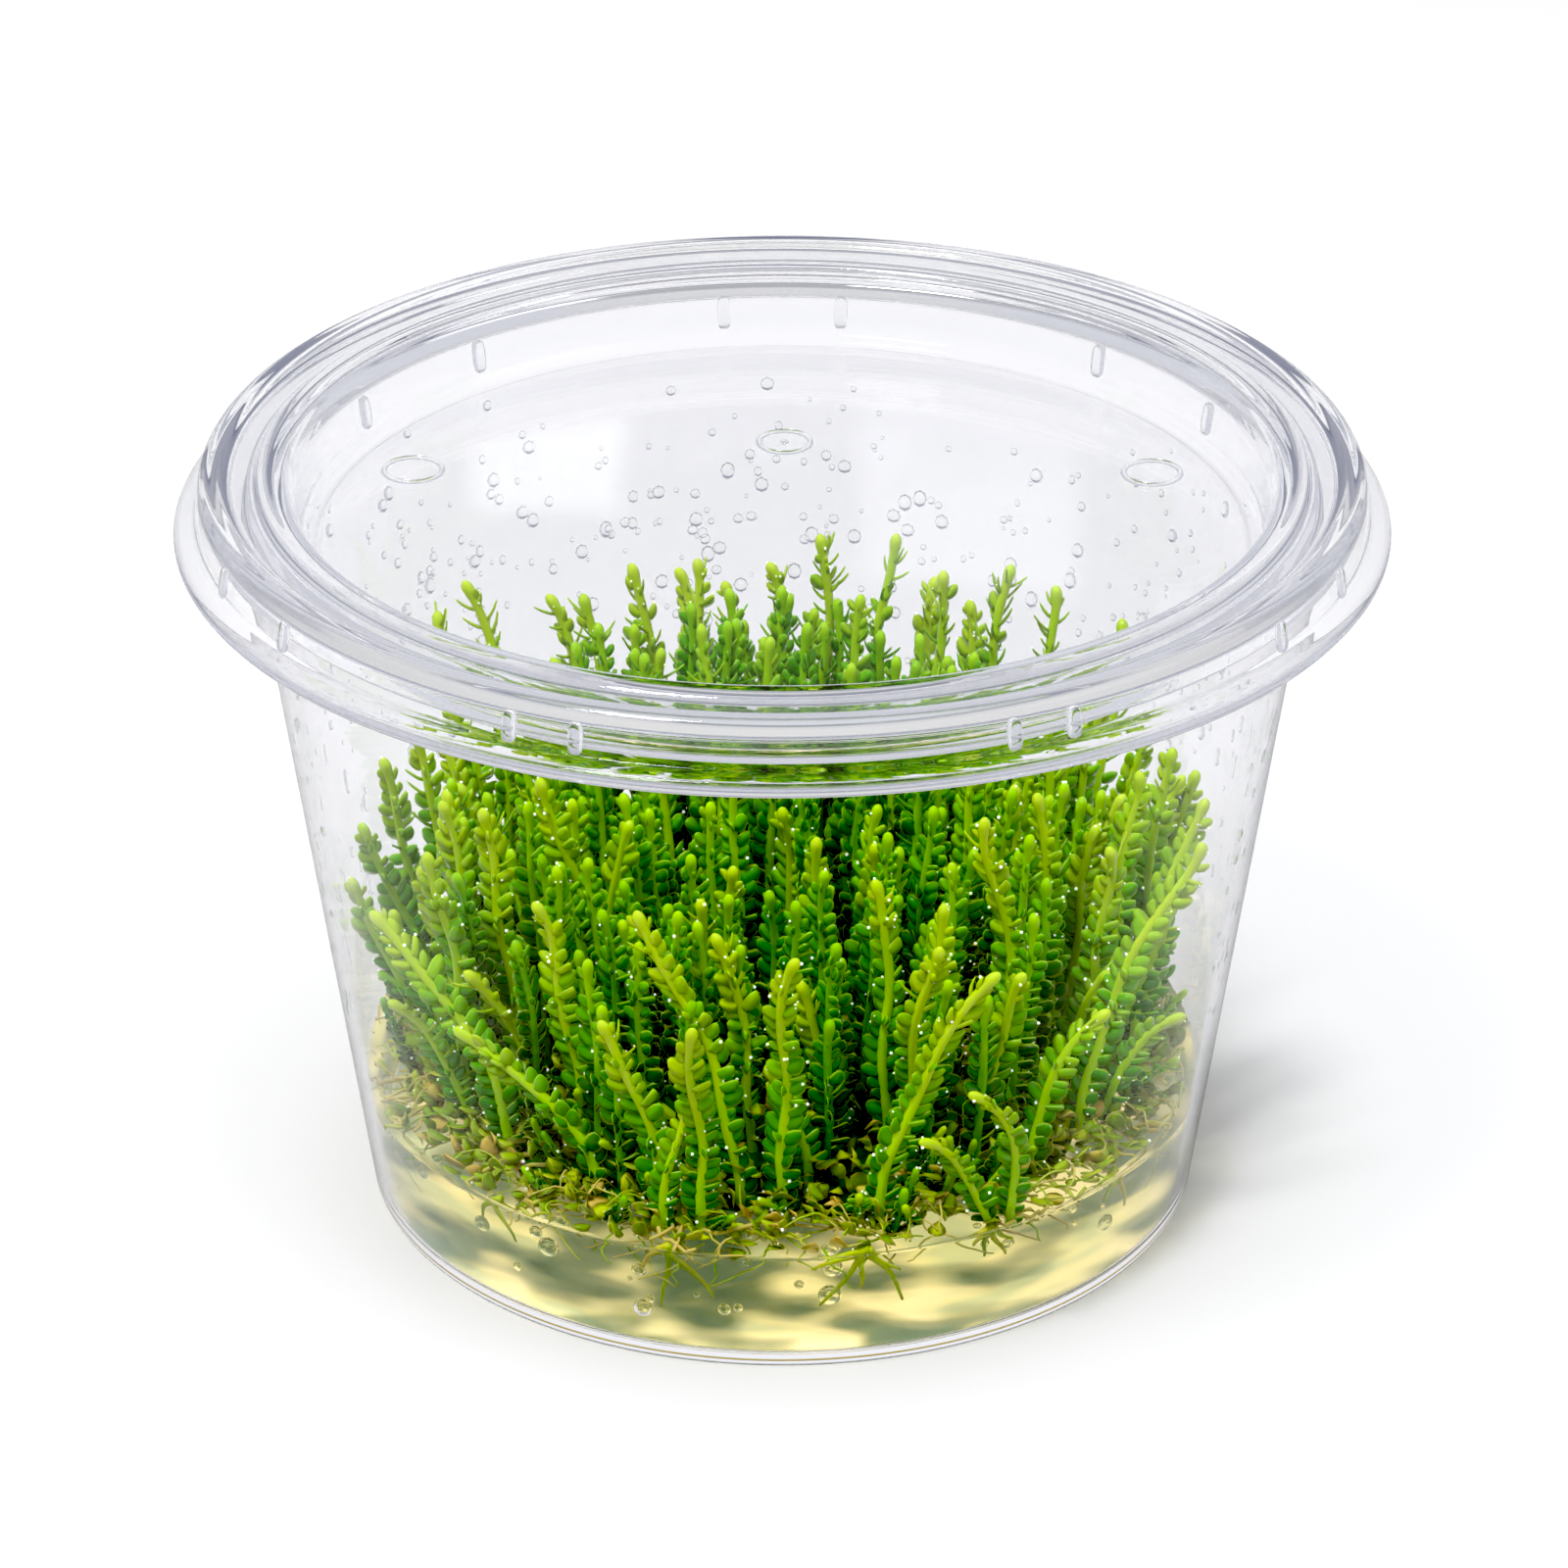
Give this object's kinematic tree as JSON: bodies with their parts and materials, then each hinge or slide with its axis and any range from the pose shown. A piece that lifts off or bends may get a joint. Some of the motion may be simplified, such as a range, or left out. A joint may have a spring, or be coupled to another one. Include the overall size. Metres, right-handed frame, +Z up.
{
  "type": "taiwan moss in a lidded culture cup",
  "caption": "Clump of upright aquarium moss on clear nutrient gel, in a tapered clear cup with a push-fit lid that keeps it moist until it is planted.",
  "frame": {"origin": "centre of the cup's flat bottom", "axes": "+Z up along the cup's axis, -Y towards the front"},
  "size_m": [0.1, 0.1, 0.0656],
  "materials": {
    "clear_plastic": "clear moulded polypropylene, polished",
    "nutrient_gel": "clear set agar gel, wet",
    "moss_mat": "wet moss, deep green",
    "moss_shoot": "wet moss, bright yellow-green"
  },
  "bodies": {
    "root": {"cup": "clear_plastic", "lid": "clear_plastic", "gel": "nutrient_gel", "moss_mat": "moss_mat", "shoot_01": "moss_shoot", "shoot_02": "moss_shoot", "shoot_03": "moss_shoot", "shoot_04": "moss_shoot", "shoot_05": "moss_shoot", "shoot_06": "moss_shoot", "shoot_07": "moss_shoot", "shoot_08": "moss_shoot", "shoot_09": "moss_shoot", "shoot_10": "moss_shoot", "shoot_11": "moss_shoot", "shoot_12": "moss_shoot", "shoot_13": "moss_shoot", "shoot_14": "moss_shoot", "shoot_15": "moss_shoot", "shoot_16": "moss_shoot", "shoot_17": "moss_shoot", "shoot_18": "moss_shoot", "shoot_19": "moss_shoot", "shoot_20": "moss_shoot", "shoot_21": "moss_shoot", "shoot_22": "moss_shoot", "shoot_23": "moss_shoot", "shoot_24": "moss_shoot", "shoot_25": "moss_shoot", "shoot_26": "moss_shoot", "shoot_27": "moss_shoot", "shoot_28": "moss_shoot", "shoot_29": "moss_shoot", "shoot_30": "moss_shoot", "shoot_31": "moss_shoot", "shoot_32": "moss_shoot", "shoot_33": "moss_shoot", "shoot_34": "moss_shoot", "shoot_35": "moss_shoot", "shoot_36": "moss_shoot", "shoot_37": "moss_shoot", "shoot_38": "moss_shoot", "shoot_39": "moss_shoot", "shoot_40": "moss_shoot", "shoot_41": "moss_shoot", "shoot_42": "moss_shoot", "shoot_43": "moss_shoot", "shoot_44": "moss_shoot", "shoot_45": "moss_shoot", "shoot_46": "moss_shoot", "shoot_47": "moss_shoot", "shoot_48": "moss_shoot", "shoot_49": "moss_shoot", "shoot_50": "moss_shoot", "shoot_51": "moss_shoot", "shoot_52": "moss_shoot", "shoot_53": "moss_shoot", "shoot_54": "moss_shoot"}
  },
  "joints": []
}
